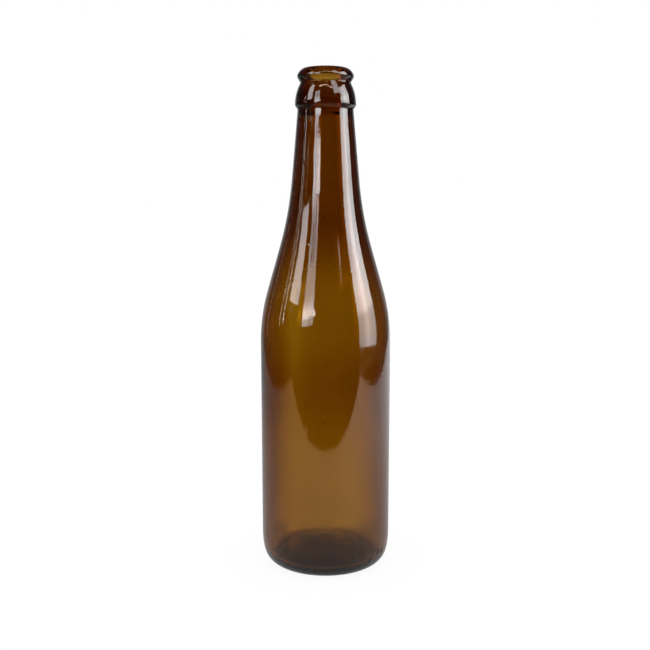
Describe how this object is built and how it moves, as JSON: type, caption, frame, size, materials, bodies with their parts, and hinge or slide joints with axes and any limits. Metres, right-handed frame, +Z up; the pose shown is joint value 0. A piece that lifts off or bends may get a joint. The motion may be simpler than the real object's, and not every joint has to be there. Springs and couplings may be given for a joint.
{
  "type": "amber glass bottle",
  "caption": "Slender empty bottle of thick amber glass, with a long tapering neck, a finish for a crown cork and a domed base, open at the mouth.",
  "frame": {"origin": "on the bottle's axis, at the height of the ring that it stands on", "axes": "+Z up along the bottle's axis, towards the mouth"},
  "size_m": [0.062, 0.062, 0.2349],
  "materials": {
    "amber_glass": "clear glossy amber glass, with light scuffs round the shoulder and the heel"
  },
  "bodies": {
    "root": {"bottle": "amber_glass"}
  },
  "joints": []
}
